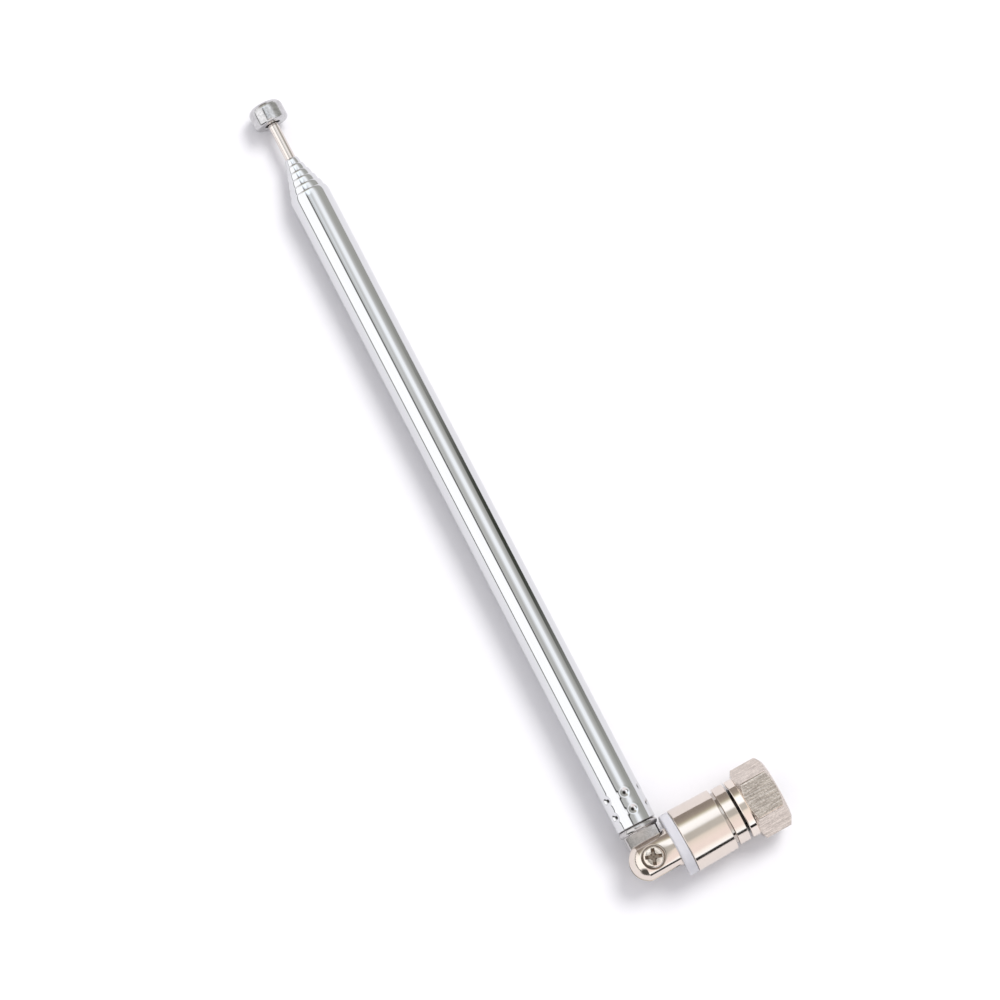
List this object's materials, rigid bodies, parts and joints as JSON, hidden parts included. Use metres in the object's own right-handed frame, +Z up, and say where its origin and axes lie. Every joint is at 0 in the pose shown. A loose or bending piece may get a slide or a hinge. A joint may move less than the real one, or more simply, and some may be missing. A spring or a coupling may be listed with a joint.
{
  "type": "telescopic antenna",
  "caption": "Telescopic whip antenna: nested chrome tubes with a tip knob, on a tilting and turning elbow above a plug with a hexagon coupling nut.",
  "frame": {"origin": "centre of the plug's mating face, where the socket's end seats", "axes": "+X out of the plug's mouth, +Y along the folded mast towards the knob (the mast leans 2 degrees towards +X), +Z up with the antenna lying on its side"},
  "size_m": [0.0274, 0.1495, 0.0114],
  "materials": {
    "mast_chrome": "bright chrome plate on drawn brass",
    "nickel_plate": "warm bright nickel plate on turned brass",
    "satin_nickel": "satin nickel plate with fine milling lines",
    "screw_steel": "nickel plated steel",
    "spring_steel": "plain spring steel",
    "bare_brass": "bare turned brass",
    "bronze": "rolled phosphor bronze",
    "white_plastic": "milky white moulded plastic"
  },
  "bodies": {
    "plug": {"plug_shell": "nickel_plate", "insulator_collar": "white_plastic", "pin_insulator": "white_plastic", "centre_pin": "bare_brass", "contact_spring": "spring_steel", "nut_snap_ring": "bronze"},
    "coupling_nut": {"coupling_nut": "satin_nickel"},
    "elbow": {"elbow_fork": "nickel_plate", "pivot_screw": "screw_steel", "swivel_washer": "spring_steel", "swivel_clip": "spring_steel"},
    "mast": {"hinge_tongue": "mast_chrome", "outer_tube": "mast_chrome"},
    "section_1": {"section_1_tube": "mast_chrome", "section_1_foot": "bare_brass", "section_1_spring": "bronze"},
    "section_2": {"section_2_tube": "mast_chrome", "section_2_foot": "bare_brass", "section_2_spring": "bronze"},
    "section_3": {"section_3_tube": "mast_chrome", "section_3_foot": "bare_brass", "section_3_spring": "bronze"},
    "section_4": {"section_4_tube": "mast_chrome", "section_4_foot": "bare_brass", "section_4_spring": "bronze"},
    "section_5": {"section_5_tube": "mast_chrome", "section_5_foot": "bare_brass", "section_5_spring": "bronze"},
    "tip": {"tip_rod": "mast_chrome", "tip_foot": "bare_brass", "tip_spring": "bronze", "tip_knob": "mast_chrome"}
  },
  "joints": [
    {"name": "nut_spin", "type": "hinge", "parent": "plug", "child": "coupling_nut", "pos_m": [0, 0, 0], "axis": [1, 0, 0], "continuous": true},
    {"name": "elbow_swivel", "type": "hinge", "parent": "plug", "child": "elbow", "pos_m": [-0.0183, 0, 0], "axis": [1, 0, 0], "continuous": true},
    {"name": "mast_tilt", "type": "hinge", "parent": "elbow", "child": "mast", "pos_m": [-0.0183, 0, 0], "axis": [0, 0, 1], "range_deg": [0, 184]},
    {"name": "section_1_slide", "type": "slide", "parent": "mast", "child": "section_1", "axis": [0.0349, 0.9994, 0], "range_m": [0, 0.103]},
    {"name": "section_2_slide", "type": "slide", "parent": "section_1", "child": "section_2", "axis": [0.0349, 0.9994, 0], "range_m": [0, 0.103]},
    {"name": "section_3_slide", "type": "slide", "parent": "section_2", "child": "section_3", "axis": [0.0349, 0.9994, 0], "range_m": [0, 0.103]},
    {"name": "section_4_slide", "type": "slide", "parent": "section_3", "child": "section_4", "axis": [0.0349, 0.9994, 0], "range_m": [0, 0.103]},
    {"name": "section_5_slide", "type": "slide", "parent": "section_4", "child": "section_5", "axis": [0.0349, 0.9994, 0], "range_m": [0, 0.103]},
    {"name": "tip_slide", "type": "slide", "parent": "section_5", "child": "tip", "axis": [0.0349, 0.9994, 0], "range_m": [0, 0.103]}
  ]
}
